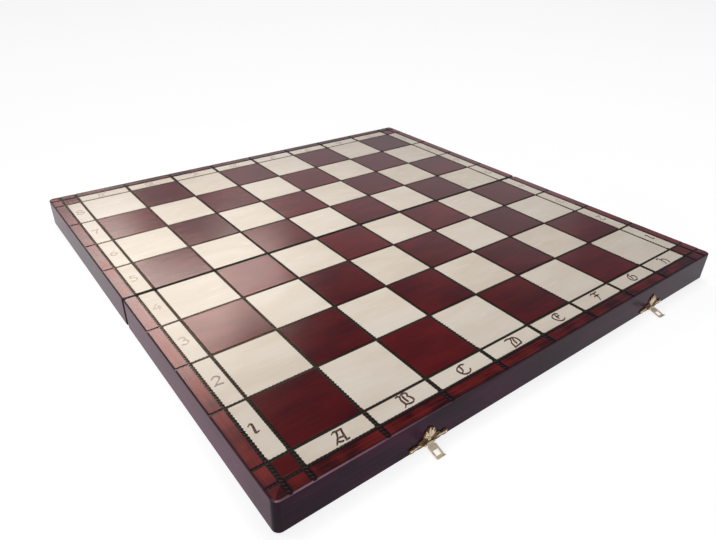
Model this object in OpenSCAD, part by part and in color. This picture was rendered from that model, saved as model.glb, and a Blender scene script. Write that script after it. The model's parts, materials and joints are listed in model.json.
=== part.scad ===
// Folding chess box, lying open as a board.
// Two shallow wooden trays are hinged along the middle of the board. Each tray has four rails,
// a panel let into their tops and a felt lining under it. Millimetres. X runs along the files,
// Y across the fold and Z up. The origin lies on the table, under the middle of the fold.
// The tray at -Y is the lid (ranks 1 to 4), the tray at +Y is the base (ranks 5 to 8).

/* [Playing field] */
// Pitch of the playing squares
square = 65; // [58:1:70]
// Width of the strip of coordinate cells round the playing squares
strip_w = 19; // [16:0.5:24]
// Width of the dark border outside the strip, which is the top of the rails
border_w = 13.5; // [11:0.5:16]
// Width of the burned lines
line_w = 2.8; // [2:0.2:4.4]
// Thickness of the veneer cells, and depth of the burned lines
veneer_t = 0.6; // [0.4:0.1:1.2]
// Gap between the two halves along the fold
fold_gap = 0.6; // [0.5:0.1:1.2]
// Bare margin between the fold and the veneer cells beside it
fold_margin = 1.2; // [0.3:0.1:1.5]

/* [Trays] */
// Height of one tray, from its rim to its playing face
tray_h = 32.5; // [26:0.5:40]
// Thickness of the outer rails
rail_t = 17; // [16.5:0.5:22]
// Thickness of the rail beside the fold
hinge_rail_t = 17; // [14:0.5:22]
// Thickness of the panel under the veneer
panel_t = 5; // [4:0.5:8]
// Play between a panel and the rebate it is glued in
panel_fit = 0.1; // [0:0.05:0.3]
// Thickness of the felt lining
lining_t = 0.8; // [0.5:0.1:2]
// Margin between the lining and the rails round it
lining_margin = 0.5; // [0.2:0.1:2]
// Radius of the outer upright corners
corner_r = 6; // [4:0.5:10]
// Radius of the upright corners beside the fold
fold_corner_r = 4; // [2.5:0.5:8]
// Radius of the top edges
edge_r = 1.5; // [0.8:0.1:2.2]
// Radius of the outer edges of the rims
rim_r = 0.6; // [0.4:0.1:1.2]
// Gap between the two rims when the box is shut
shut_gap = 0.3; // [0.2:0.1:0.6]

/* [Hinges] */
// Distance of each hinge's middle from the side wall
hinge_inset = 102.5; // [80:0.5:170]
// Length of a hinge
hinge_len = 38; // [30:1:50]
// Number of knuckles in a hinge
knuckles = 5; // [3, 5, 7]
// Outer diameter of the knuckles
knuckle_d = 3; // [2.8:0.1:3.6]
// Diameter of the hinge pin
hinge_pin_d = 1.6; // [1.2:0.1:1.8]
// Length of pin that shows at each end
pin_proud = 0.5; // [0.2:0.1:1]
// Gap between one knuckle and the next
knuckle_gap = 0.3; // [0.2:0.05:0.5]
// Clearance round the knuckles in the rails and the other leaf
knuckle_clear = 0.4; // [0.3:0.05:0.6]
// Width of a leaf, from the pin's axis
leaf_w = 12; // [9:0.5:13]
// Thickness of a leaf
leaf_t = 1; // [0.7:0.05:1.2]
// Radius of a leaf's outer corners
leaf_corner_r = 1.5; // [0.5:0.1:2.5]
// Play round a leaf in its recess
leaf_fit = 0.1; // [0.05:0.05:0.3]
// Distance of the leaf screws from the hinge's middle
leaf_screw_x = 12; // [6:0.5:14]
// Distance of the leaf screws from the leaf's outer edge
leaf_screw_inset = 4.2; // [3:0.1:5]
// Shank diameter of a leaf screw
screw_d = 2; // [1.6:0.1:2.4]
// Head diameter of a leaf screw
screw_head_d = 3.8; // [3.2:0.1:4.4]
// Length of a leaf screw
screw_len = 9; // [6:0.5:14]
// Width of the slot in a screw head
slot_w = 0.5; // [0.3:0.1:0.8]
// Depth of the slot in a screw head
slot_depth = 0.45; // [0.2:0.05:0.6]

/* [Clasps] */
// Distance of the left clasp's middle from the left side wall
left_clasp_inset = 138.5; // [110:0.5:170]
// Distance of the right clasp's middle from the right side wall
right_clasp_inset = 118.5; // [110:0.5:170]
// Thickness of the stamped brass plates and hasps
brass_t = 0.9; // [0.7:0.05:1]
// Half the span of a clasp plate's wings
wing_reach = 21; // [18:0.5:24]
// Height of a clasp plate above the rim
clasp_h = 19; // [14:0.5:20]
// Width of the clasp plate's shield, between the wings
shield_w = 13; // [12:0.5:16]
// Radius of the round ends of the wings
wing_tip_r = 2.6; // [2.2:0.1:3]
// Height of the wings where they join the shield
shoulder_h = 8.6; // [7.6:0.1:9]
// Radius of the scallops above and below a wing
scallop_r = 3.4; // [3:0.1:3.6]
// Depth of the scallop below a wing
foot_cut = 0.8; // [0.4:0.1:1]
// Height of the hasp's pivot above the rim
pivot_up = 2.5; // [2:0.1:4]
// Outer diameter of the clasp's knuckles
clasp_knuckle_d = 2.6; // [2.4:0.1:2.7]
// Diameter of the clasp's pin
clasp_pin_d = 1.2; // [0.9:0.1:1.4]
// Length of the clasp's row of knuckles
clasp_knuckle_len = 11; // [10:0.5:12]
// Length of the hasp's own knuckle
hasp_knuckle_len = 5.6; // [4.5:0.1:6.5]
// Clearance between the hasp's knuckle and the wall
hasp_clear = 0.1; // [0.05:0.05:0.2]
// Gap between the clasp's knuckles, and between the shut hasp and the catch plate
clasp_gap = 0.3; // [0.25:0.05:0.35]
// Width of the hasp
hasp_w = 9; // [8.6:0.1:10]
// Flat length of the hasp, from the pivot to its curled lip
hasp_flat = 13; // [12.6:0.1:15]
// Radius of the soft shoulders of the hasp
hasp_corner_r = 1.4; // [0.5:0.1:1.8]
// Inner radius of the curled lip
lip_r = 1.2; // [0.8:0.1:2]
// Height that the resting lip stays above the table
lip_rest = 0.1; // [0.1:0.05:0.3]
// Diameter of the nails' shanks
nail_d = 1.3; // [1:0.1:1.6]
// Diameter of the nails' round heads
nail_head_d = 2.6; // [2.2:0.1:3]
// Height of the nails' round heads
nail_head_h = 0.7; // [0.5:0.1:1]
// Length of the nails in the wood
nail_len = 9; // [6:0.5:12]

/* [Catches] */
// Width of a catch plate
catch_w = 17; // [16:0.5:22]
// Height of the lower edge of a catch plate above the rim
catch_low = 1; // [0.6:0.1:1.6]
// Height of a catch plate
catch_h = 10; // [9.4:0.1:13]
// Radius of a catch plate's corners
catch_corner_r = 2; // [0.5:0.1:3]
// Distance of the catch nails from the middle of the plate
catch_nail_x = 6.4; // [6.2:0.1:7]
// Width of the nose that the hasp's window drops over
nose_w = 4.2; // [3.4:0.1:4.4]
// Height of the nose's lower end above the rim
nose_low = 4.6; // [4.4:0.1:5]
// Length of the nose at its root
nose_len = 3.4; // [2.8:0.1:3.6]
// Height of the nose over its plate
nose_out = 2.3; // [1.8:0.1:2.6]
// Radius of the nose's tip
nose_tip_r = 0.7; // [0.4:0.1:0.8]
// Clearance of the nose in the hasp's window, at the sides and the pivot's end
window_fit = 0.4; // [0.35:0.05:0.5]
// Clearance of the nose in the hasp's window at the lip's end, where the hasp swings over it
lip_play = 1; // [0.9:0.1:1.1]

/* [Fits] */
// Radial play of a pin in its knuckles
pin_fit = 0.05; // [0.02:0.01:0.08]
// Radial play of screws and nails in their holes
hole_fit = 0.05; // [0.02:0.01:0.1]

/* [Hidden] */
$fn = 48;

past = 1;                        // how far a cut runs past the face it opens
near_ranks = [3, 2, 1, 0];       // ranks of the near half, from the fold outwards, counted from 0
far_ranks = [4, 5, 6, 7];        // ranks of the far half
half_ranks = len(near_ranks);    // squares along Y in each half
files = 2 * half_ranks;          // squares along X

field = half_ranks * square;     // from the middle of the board to the edge of the squares
strip_edge = field + strip_w;    // and to the outer edge of the strip
half_w = strip_edge + border_w;  // and to the outer face of the rails
hinge_x = half_w - hinge_inset;
left_clasp_x = left_clasp_inset - half_w;
right_clasp_x = half_w - right_clasp_inset;
fold_y = fold_gap / 2;           // from the middle of the fold to a tray's face
pivot_z = knuckle_d / 2;         // height of the fold's axis: the knuckles touch the table
rim_z = pivot_z + shut_gap / 2;  // height of the rims
top_z = rim_z + tray_h;          // height of the playing face
core_z = top_z - veneer_t;       // top of the panel, under the veneer
ledge_z = core_z - panel_t;      // underside of the panel, and the rebate's ledge
knuckle_r = knuckle_d / 2;
leaf_edge = knuckle_r + knuckle_clear;  // where a leaf stops beside the other leaf's knuckles

clasp_r = clasp_knuckle_d / 2;
pivot_out = clasp_r + hasp_clear;  // distance of the hasp's pivot from the wall
hasp_in = pivot_out - brass_t - clasp_gap;  // the hasp's inner face, measured inwards from its pivot
hasp_out = brass_t - hasp_in;    // the hasp's outer face, outwards from its pivot
fold_drop = pivot_up + shut_gap; // from the pivot down to the base's rim when the box is shut
window_top = fold_drop + nose_low - window_fit;
window_end = fold_drop + nose_low + nose_len + lip_play;
hasp_rest = acos((rim_z + pivot_up - hasp_in - lip_rest) / hasp_flat);
hasp_neck = clasp_r + 2 * clasp_gap;  // where the hasp widens, clear of the plate's knuckles

line_xs = concat([-strip_edge, strip_edge], [for (k = [-files / 2 : files / 2]) k * square]);
line_ys = concat([-strip_edge], [for (k = [1 : half_ranks]) -k * square]);

// ---------------------------------------------------------------- shared shapes

// Everything is drawn for the near half. The far half is its mirror image.
module far_half() { mirror([0, 1, 0]) children(); }

// A cylinder along X, centred on the origin
module bar(r, length) { rotate([0, 90, 0]) cylinder(r = r, h = length, center = true); }

// A rectangle centred along X that starts at y, with its four corners rounded
module soft_rect(w, y, h, r) {
    translate([-w / 2 + r, y]) square([w - 2 * r, h]);
    translate([-w / 2, y + r]) square([w, h - 2 * r]);
    for (x = [-w / 2 + r, w / 2 - r], v = [y + r, y + h - r]) translate([x, v]) circle(r);
}

// The waste outside a rounded edge: x is measured inwards from the face, y up to the top
module edge_waste(r) {
    difference() {
        translate([-past, -r]) square(r + past);
        translate([r, -r]) circle(r);
    }
}

// That waste along X, for a face at y = 0 with the wood behind it
module straight_waste(length, r) {
    rotate([90, 0, 90]) linear_extrude(length) edge_waste(r);
}

// That waste round an upright corner of radius R, in the first quadrant
module corner_edge_waste(R, r) {
    rotate_extrude(angle = 90) translate([R, 0]) mirror([1, 0]) edge_waste(r);
}

module corner_waste(R) {
    difference() {
        square(R + past);
        circle(R);
    }
}

// ---------------------------------------------------------------- trays

// Plan of one half: a rectangle with large outer corners and small ones beside the fold
module half_plan() {
    difference() {
        translate([-half_w, -half_w]) square([2 * half_w, half_w - fold_y]);
        for (side = [0, 1]) mirror([side, 0]) {
            translate([-half_w + corner_r, -half_w + corner_r]) rotate(180) corner_waste(corner_r);
            translate([-half_w + fold_corner_r, -fold_y - fold_corner_r])
                rotate(90) corner_waste(fold_corner_r);
        }
    }
}

// The rounding of the outer edges at height 0, all the way round the plan
module round_edges(r) {
    side_len = half_w - fold_y - fold_corner_r - corner_r;
    translate([-half_w + corner_r, -half_w, 0]) straight_waste(2 * (half_w - corner_r), r);
    for (side = [0, 1]) mirror([side, 0, 0]) {
        translate([-half_w, -fold_y - fold_corner_r, 0])
            rotate(-90) straight_waste(side_len, r);
        translate([-half_w + rail_t + past, -fold_y, 0])
            rotate(180) straight_waste(rail_t + past - fold_corner_r, r);
        translate([-half_w + corner_r, -half_w + corner_r, 0])
            rotate(180) corner_edge_waste(corner_r, r);
        translate([-half_w + fold_corner_r, -fold_y - fold_corner_r, 0])
            rotate(90) corner_edge_waste(fold_corner_r, r);
    }
}

// The burned lines, which cross the border and run out over its edges
module burned_lines() {
    reach = half_w + past;
    depth = veneer_t + past;
    translate([0, 0, core_z]) {
        for (x = line_xs) translate([x - line_w / 2, -reach, 0]) cube([line_w, reach, depth]);
        for (y = line_ys) translate([-reach, y - line_w / 2, 0]) cube([2 * reach, line_w, depth]);
    }
}

// The rails as one ring with rounded edges, rebated for the panel and grooved by the lines
module rail_ring() {
    inside = half_w - rail_t;
    seat = half_w - border_w;
    difference() {
        translate([0, 0, rim_z]) linear_extrude(tray_h) half_plan();
        translate([-inside, -inside, 0]) cube([2 * inside, inside + past, top_z + past]);
        translate([-seat, -seat, ledge_z]) cube([2 * seat, seat + past, top_z]);
        translate([0, 0, top_z]) round_edges(edge_r);
        translate([0, 0, rim_z]) mirror([0, 0, 1]) round_edges(rim_r);
        burned_lines();
    }
}

// The rail along the outer edge, mitred to the side rails
module outer_rail() {
    o = half_w + past;
    i = half_w - rail_t;
    intersection() {
        rail_ring();
        linear_extrude(top_z + past) polygon([[-o, -o], [o, -o], [i, -i], [-i, -i]]);
    }
}

// The left side rail, which runs from the mitre to the fold
module side_rail() {
    o = half_w + past;
    i = half_w - rail_t;
    intersection() {
        rail_ring();
        linear_extrude(top_z + past) polygon([[-o, -o], [-i, -i], [-i, 0], [-o, 0]]);
    }
}

// The rail under the panel's free edge, butted between the side rails and let in for the hinges
module hinge_rail() {
    w = 2 * (half_w - rail_t);
    difference() {
        translate([-w / 2, -fold_y - hinge_rail_t, rim_z]) cube([w, hinge_rail_t, ledge_z - rim_z]);
        for (x = [-hinge_x, hinge_x]) translate([x, 0, 0]) hinge_recess();
    }
}

module panel() {
    w = 2 * (strip_edge - panel_fit);
    translate([-w / 2, -strip_edge + panel_fit, ledge_z])
        cube([w, strip_edge - panel_fit - fold_y, panel_t]);
}

module lining() {
    x = half_w - rail_t - lining_margin;
    y = fold_y + hinge_rail_t + lining_margin;
    translate([-x, -x, ledge_z - lining_t]) cube([2 * x, x - y, lining_t]);
}

// ---------------------------------------------------------------- playing field

// Files and ranks count from 0 at a1, and a1 is dark
function is_dark(file, rank) = (file + rank) % 2 == 0;

// A veneer cell between the middles of the lines round it. The cells beside the fold end there.
module cell(x0, x1, y0, y1) {
    gap = line_w / 2;
    end = y1 == 0 ? fold_y + fold_margin : gap;
    translate([x0 + gap, y0 + gap, core_z]) cube([x1 - x0 - line_w, y1 - y0 - gap - end, veneer_t]);
}

// One colour of playing squares in one half, whose ranks are given from the fold outwards
module playing_squares(dark, ranks) {
    for (file = [0 : files - 1], row = [0 : half_ranks - 1]) {
        x = (file - files / 2) * square;
        y = -row * square;
        if (is_dark(file, ranks[row]) == dark) cell(x, x + square, y - square, y);
    }
}

// The light cells that carry letters along the outer edge and numbers along both sides
module strip_cells() {
    for (file = [0 : files - 1]) {
        x = (file - files / 2) * square;
        cell(x, x + square, -strip_edge, -field);
    }
    for (row = [0 : half_ranks - 1], x = [-strip_edge, field])
        cell(x, x + strip_w, -(row + 1) * square, -row * square);
}

// The dark cells where two strips meet
module strip_corners() {
    for (x = [-strip_edge, field]) cell(x, x + strip_w, -strip_edge, -field);
}

// ---------------------------------------------------------------- hinges

// Height of a countersunk head, which the leaf's thickness holds
head_h = leaf_t;
knuckle_len = (hinge_len - (knuckles - 1) * knuckle_gap) / knuckles;
screw_y = -leaf_w + leaf_screw_inset;

// The wood cut away for a leaf, for both leaves' knuckles and for the screws
module hinge_recess() {
    w = hinge_len + 2 * leaf_fit;
    translate([-w / 2, -leaf_w - leaf_fit, rim_z - past]) cube([w, leaf_w + leaf_fit, leaf_t + past]);
    translate([0, 0, pivot_z]) bar(leaf_edge, hinge_len + 2 * (pin_proud + knuckle_clear));
    for (x = [-leaf_screw_x, leaf_screw_x]) translate([x, screw_y, rim_z])
        cylinder(d = screw_d + 2 * hole_fit, h = screw_len + past);
}

// A leaf with the knuckles that start at first, every second one
module hinge_leaf(first) {
    difference() {
        union() {
            translate([0, 0, rim_z]) linear_extrude(leaf_t) leaf_plan();
            for (k = [first : 2 : knuckles - 1])
                translate([-hinge_len / 2 + k * (knuckle_len + knuckle_gap), 0, 0]) {
                    translate([0, -leaf_edge - leaf_t, rim_z])
                        cube([knuckle_len, leaf_edge + leaf_t, leaf_t]);
                    translate([knuckle_len / 2, 0, pivot_z]) bar(knuckle_r, knuckle_len);
                }
        }
        translate([0, 0, pivot_z]) bar(hinge_pin_d / 2 + pin_fit, hinge_len + 2 * past);
        for (x = [-leaf_screw_x, leaf_screw_x]) translate([x, screw_y, rim_z]) {
            cylinder(d1 = screw_head_d + 2 * hole_fit, d2 = screw_d + 2 * hole_fit, h = head_h);
            cylinder(d = screw_d + 2 * hole_fit, h = leaf_t + past);
        }
    }
}

// A leaf in plan: its two outer corners are rounded, its inner edge clears the knuckles
module leaf_plan() {
    r = leaf_corner_r;
    difference() {
        translate([-hinge_len / 2, -leaf_w]) square([hinge_len, leaf_w - leaf_edge]);
        for (side = [0, 1]) mirror([side, 0])
            translate([-hinge_len / 2 + r, -leaf_w + r]) rotate(180) corner_waste(r);
    }
}

module hinge_pin() { translate([0, 0, pivot_z]) bar(hinge_pin_d / 2, hinge_len + 2 * pin_proud); }

// The countersunk screws of one leaf, driven up into the rail
module leaf_screws() {
    for (x = [-leaf_screw_x, leaf_screw_x]) translate([x, screw_y, rim_z]) difference() {
        union() {
            cylinder(d1 = screw_head_d, d2 = screw_d, h = head_h);
            translate([0, 0, head_h]) cylinder(d = screw_d, h = screw_len - head_h - screw_d);
            translate([0, 0, screw_len - screw_d]) cylinder(d1 = screw_d, d2 = screw_d / 4, h = screw_d);
        }
        translate([-screw_head_d, -slot_w / 2, -past]) cube([2 * screw_head_d, slot_w, slot_depth + past]);
    }
}

// ---------------------------------------------------------------- clasps and catches

// Places children on the outer wall at x, with z = 0 at the rim
module on_wall(x) { translate([x, -half_w, rim_z]) children(); }

// Extrudes an outline drawn in x and z outwards from the wall
module off_wall(t) { rotate([90, 0, 0]) linear_extrude(t) children(); }

clasp_low = pivot_up - clasp_r;  // lower edge of a clasp plate
lobe_r = shield_w / 4;           // radius of the three lobes of the shield's crown
crown_lobe = [0, clasp_h - lobe_r];
side_lobe = [shield_w / 2 - lobe_r, clasp_h - 2 * lobe_r];
wing_tip = [wing_reach - wing_tip_r, clasp_low + wing_tip_r];
clasp_nails = [for (side = [-1, 1], p = [wing_tip, side_lobe]) [side * p[0], p[1]]];
catch_nails = [for (side = [-1, 1]) [side * catch_nail_x, catch_low + catch_h / 2]];

// A stamped shield with a crown of three lobes and a scalloped wing on each side
module clasp_outline() {
    shoulder = clasp_low + shoulder_h;
    scallop_x = (shield_w / 2 + wing_reach) / 2;
    slot = [hasp_knuckle_len + 2 * clasp_gap, pivot_up + clasp_r + clasp_gap];
    difference() {
        union() {
            translate([-shield_w / 2, clasp_low]) square([shield_w, side_lobe[1] - clasp_low]);
            translate(crown_lobe) circle(lobe_r);
            for (side = [0, 1]) mirror([side, 0]) {
                translate(side_lobe) circle(lobe_r);
                translate(wing_tip) circle(wing_tip_r);
                polygon([
                    [0, clasp_low], [wing_tip[0], clasp_low], wing_tip + [0, wing_tip_r],
                    [shield_w / 2, shoulder], [0, shoulder]
                ]);
            }
        }
        for (side = [-1, 1]) {
            translate([side * scallop_x, shoulder]) circle(scallop_r);
            translate([side * scallop_x, clasp_low + foot_cut - scallop_r]) circle(scallop_r);
        }
        translate([-slot[0] / 2, 0]) square(slot);
    }
}

module clasp_plate() {
    side_len = (clasp_knuckle_len - hasp_knuckle_len) / 2 - clasp_gap;
    difference() {
        union() {
            off_wall(brass_t) clasp_outline();
            for (side = [-1, 1]) translate([side * (clasp_knuckle_len - side_len) / 2, 0, pivot_up]) {
                translate([0, -pivot_out, 0]) bar(clasp_r, side_len);
                translate([-side_len / 2, -pivot_out, 0]) cube([side_len, pivot_out, clasp_r]);
            }
        }
        translate([0, -pivot_out, pivot_up]) bar(clasp_pin_d / 2 + pin_fit, clasp_knuckle_len + 2 * past);
        nail_holes(clasp_nails);
    }
}

module clasp_pin() {
    translate([0, -pivot_out, pivot_up]) bar(clasp_pin_d / 2, clasp_knuckle_len + 2 * clasp_gap);
}

// Holes for nails through a plate and into the rail behind it
module nail_holes(places) {
    for (p = places) translate([p[0], nail_len + past, p[1]]) rotate([90, 0, 0])
        cylinder(d = nail_d + 2 * hole_fit, h = nail_len + brass_t + 2 * past);
}

// Round-headed nails that hold a plate to the wall
module nails(places) {
    dome_r = (nail_head_d * nail_head_d / 4 + nail_head_h * nail_head_h) / (2 * nail_head_h);
    for (p = places) translate([p[0], -brass_t, p[1]]) rotate([90, 0, 0]) {
        intersection() {
            translate([0, 0, nail_head_h - dome_r]) sphere(dome_r);
            cylinder(r = nail_head_d, h = nail_head_h + past);
        }
        translate([0, 0, -nail_len]) cylinder(d = nail_d, h = nail_len);
    }
}

// The nose seen from the side: flat underneath, with a round tip and a long ramp
module nose_outline() {
    tip = [brass_t + nose_out - nose_tip_r, nose_low + nose_tip_r];
    translate(tip) circle(nose_tip_r);
    polygon([
        [0, nose_low], [tip[0], nose_low], tip + nose_tip_r * [cos(45), sin(45)],
        [brass_t, nose_low + nose_len], [0, nose_low + nose_len]
    ]);
}

// A small plate with a nose. The hasp's window drops over the nose.
module catch_plate() {
    difference() {
        union() {
            off_wall(brass_t) soft_rect(catch_w, catch_low, catch_h, catch_corner_r);
            mirror([0, 1, 0]) rotate([90, 0, 90]) translate([0, 0, -nose_w / 2])
                linear_extrude(nose_w) nose_outline();
        }
        nail_holes(catch_nails);
    }
}

// The hasp from the front: a neck at the knuckle, then the full width with soft shoulders
module hasp_outline() {
    r = hasp_corner_r;
    translate([-hasp_knuckle_len / 2, -hasp_neck - r]) square([hasp_knuckle_len, hasp_neck + r]);
    difference() {
        translate([-hasp_w / 2, -hasp_flat]) square([hasp_w, hasp_flat - hasp_neck]);
        for (side = [0, 1]) mirror([side, 0])
            translate([hasp_w / 2 - r, -hasp_neck - r]) corner_waste(r);
    }
}

// The curled lip from the side: a quarter of a ring under the flat part
module lip_outline() {
    reach = lip_r + brass_t + past;
    translate([-hasp_out - lip_r, -hasp_flat]) intersection() {
        difference() {
            circle(lip_r + brass_t);
            circle(lip_r);
        }
        translate([0, -reach]) square(reach);
    }
}

// The hasp hanging straight down from its pivot: knuckle, windowed plate and curled lip
module hanging_hasp() {
    window_w = nose_w + 2 * window_fit;
    difference() {
        union() {
            bar(clasp_r, hasp_knuckle_len);
            translate([0, hasp_in, 0]) off_wall(brass_t) hasp_outline();
            rotate([90, 0, 90]) translate([0, 0, -hasp_w / 2]) linear_extrude(hasp_w) lip_outline();
        }
        bar(clasp_pin_d / 2 + pin_fit, hasp_knuckle_len + 2 * past);
        translate([-window_w / 2, -hasp_out - past, -window_end])
            cube([window_w, brass_t + 2 * past, window_end - window_top]);
    }
}

// The hasp at rest, swung out until its lip lies on the table
module hasp() { translate([0, -pivot_out, pivot_up]) rotate([-hasp_rest, 0, 0]) hanging_hasp(); }

// ---------------------------------------------------------------- sub-parts

brass = "DarkGoldenrod";
dark_wood = [0.31, 0.09, 0.08];
red_wood = [0.38, 0.11, 0.09];
side_wood = [0.22, 0.10, 0.13];
pale_wood = [0.90, 0.84, 0.72];

module lid_panel() color(pale_wood) panel();
module lid_light_squares() color("Cornsilk") {
    playing_squares(false, near_ranks);
    strip_cells();
}
module lid_dark_squares() color(dark_wood) {
    playing_squares(true, near_ranks);
    strip_corners();
}
module lid_clasp_rail() color(red_wood) difference() {
    outer_rail();
    for (x = [left_clasp_x, right_clasp_x]) on_wall(x) nail_holes(clasp_nails);
}
module lid_hinge_rail() color(side_wood) hinge_rail();
module lid_left_rail() color(red_wood) side_rail();
module lid_right_rail() color(red_wood) mirror([1, 0, 0]) side_rail();
module lid_lining() color("DarkGreen") lining();
module left_hinge_lid_leaf() color(brass) translate([-hinge_x, 0, 0]) hinge_leaf(0);
module right_hinge_lid_leaf() color(brass) translate([hinge_x, 0, 0]) hinge_leaf(0);
module left_hinge_pin() color("Goldenrod") translate([-hinge_x, 0, 0]) hinge_pin();
module right_hinge_pin() color("Goldenrod") translate([hinge_x, 0, 0]) hinge_pin();
module lid_hinge_screws() color("Gold")
    for (x = [-hinge_x, hinge_x]) translate([x, 0, 0]) leaf_screws();
module left_clasp_plate() color(brass) on_wall(left_clasp_x) clasp_plate();
module right_clasp_plate() color(brass) on_wall(right_clasp_x) clasp_plate();
module left_clasp_pin() color("Goldenrod") on_wall(left_clasp_x) clasp_pin();
module right_clasp_pin() color("Goldenrod") on_wall(right_clasp_x) clasp_pin();
module clasp_plate_nails() color("Gold")
    for (x = [left_clasp_x, right_clasp_x]) on_wall(x) nails(clasp_nails);

module base_panel() color(pale_wood) far_half() panel();
module base_light_squares() color("Cornsilk") far_half() {
    playing_squares(false, far_ranks);
    strip_cells();
}
module base_dark_squares() color(dark_wood) far_half() {
    playing_squares(true, far_ranks);
    strip_corners();
}
module base_catch_rail() color(red_wood) far_half() difference() {
    outer_rail();
    for (x = [left_clasp_x, right_clasp_x]) on_wall(x) nail_holes(catch_nails);
}
module base_hinge_rail() color(side_wood) far_half() hinge_rail();
module base_left_rail() color(red_wood) far_half() side_rail();
module base_right_rail() color(red_wood) far_half() mirror([1, 0, 0]) side_rail();
module base_lining() color("DarkGreen") far_half() lining();
module left_hinge_base_leaf() color(brass) far_half() translate([-hinge_x, 0, 0]) hinge_leaf(1);
module right_hinge_base_leaf() color(brass) far_half() translate([hinge_x, 0, 0]) hinge_leaf(1);
module base_hinge_screws() color("Gold") far_half()
    for (x = [-hinge_x, hinge_x]) translate([x, 0, 0]) leaf_screws();
module left_catch_plate() color(brass) far_half() on_wall(left_clasp_x) catch_plate();
module right_catch_plate() color(brass) far_half() on_wall(right_clasp_x) catch_plate();
module catch_plate_nails() color("Gold") far_half()
    for (x = [left_clasp_x, right_clasp_x]) on_wall(x) nails(catch_nails);

module left_hasp() color("Goldenrod") on_wall(left_clasp_x) hasp();
module right_hasp() color("Goldenrod") on_wall(right_clasp_x) hasp();

lid_panel();
lid_light_squares();
lid_dark_squares();
lid_clasp_rail();
lid_hinge_rail();
lid_left_rail();
lid_right_rail();
lid_lining();
left_hinge_lid_leaf();
right_hinge_lid_leaf();
left_hinge_pin();
right_hinge_pin();
lid_hinge_screws();
left_clasp_plate();
right_clasp_plate();
left_clasp_pin();
right_clasp_pin();
clasp_plate_nails();
base_panel();
base_light_squares();
base_dark_squares();
base_catch_rail();
base_hinge_rail();
base_left_rail();
base_right_rail();
base_lining();
left_hinge_base_leaf();
right_hinge_base_leaf();
base_hinge_screws();
left_catch_plate();
right_catch_plate();
catch_plate_nails();
left_hasp();
right_hasp();
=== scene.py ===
# %% [markdown]
# # A folding chess box, lying open as a board
#
# Two shallow wooden trays are hinged along the middle of the board. They lie with their playing
# faces up. The construction comes ready made as a fixed frame of named parts, and this script
# only dresses it: softened wooden edges, lines burned with a roller, lettering drawn with a
# broad pen, antiqued brass, felt, light and a camera. Everything is in metres.

# %% Load the frame
import json
import math

import bmesh
import bpy
from mathutils import Matrix, Vector
from mathutils.geometry import delaunay_2d_cdt

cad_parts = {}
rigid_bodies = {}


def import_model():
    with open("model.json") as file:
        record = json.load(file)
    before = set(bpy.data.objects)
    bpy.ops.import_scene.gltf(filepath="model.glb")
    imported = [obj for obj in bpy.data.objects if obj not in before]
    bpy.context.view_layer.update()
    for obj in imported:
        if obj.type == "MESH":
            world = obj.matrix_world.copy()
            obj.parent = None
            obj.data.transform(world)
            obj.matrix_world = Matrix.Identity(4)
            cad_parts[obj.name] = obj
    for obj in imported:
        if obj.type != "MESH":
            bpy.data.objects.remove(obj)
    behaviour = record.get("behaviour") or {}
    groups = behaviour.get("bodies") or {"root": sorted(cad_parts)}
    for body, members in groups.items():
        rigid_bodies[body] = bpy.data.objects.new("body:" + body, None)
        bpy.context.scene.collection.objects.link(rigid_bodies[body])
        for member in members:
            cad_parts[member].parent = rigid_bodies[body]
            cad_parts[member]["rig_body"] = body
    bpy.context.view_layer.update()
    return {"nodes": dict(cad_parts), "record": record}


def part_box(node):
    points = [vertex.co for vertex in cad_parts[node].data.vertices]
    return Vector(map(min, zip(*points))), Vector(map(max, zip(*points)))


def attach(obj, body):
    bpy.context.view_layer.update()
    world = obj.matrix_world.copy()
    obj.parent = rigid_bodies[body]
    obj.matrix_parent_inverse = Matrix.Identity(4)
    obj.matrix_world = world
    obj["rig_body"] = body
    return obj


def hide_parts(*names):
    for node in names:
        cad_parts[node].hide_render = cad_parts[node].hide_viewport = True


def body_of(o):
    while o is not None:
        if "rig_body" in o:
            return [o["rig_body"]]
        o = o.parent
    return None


for leftover in list(bpy.data.objects):
    bpy.data.objects.remove(leftover)
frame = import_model()
nodes = frame["nodes"]
MM = 0.001

# %% [markdown]
# ## The board's measures
#
# The places of the cells could be typed in again, but then they could drift away from the
# frame. So they are read from it: two mounts lie on the middles of two corner squares, and the
# parts' own boxes give the faces of the rails and the cells.

# %% Read the measures from the frame
mounts = {m["name"]: Vector(m["pos_m"]) for m in frame["record"]["mounts"]}
SQUARES = 8
HALF = SQUARES // 2
TOP = mounts["square_a1"].z
PITCH = (mounts["square_h8"].x - mounts["square_a1"].x) / (SQUARES - 1)
FIELD = PITCH * SQUARES / 2
LINE_W = 2.8 * MM
OUTER = -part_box("lid_clasp_rail")[0].y
STRIP_EDGE = -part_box("lid_light_squares")[0].y + LINE_W / 2
STRIP_MID = (FIELD + STRIP_EDGE) / 2
HALVES = {"near": ("lid", -1), "far": ("base", 1)}
print(f"pitch {PITCH / MM:.1f} mm, board {2 * OUTER / MM:.0f} mm, top at {TOP / MM:.2f} mm")

# %% [markdown]
# ## The camera
#
# A camera could be placed by eye, but a photograph of a grid says closely where it was taken
# from. These values come from matching the corners of the squares, rounded to a tenth of a
# millimetre or finer. The camera looks down over the corner of a1 and is rolled a little.

# %% Make the camera
CAMERA_AT = Vector((-405.7, -519.1, 356.8)) * MM
LOOKS_AT = Vector((-69.07, -87.52, 34.15)) * MM
ROLL = math.radians(1.49)
SENSOR_W, LENS = 36.0, 29.62

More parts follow.
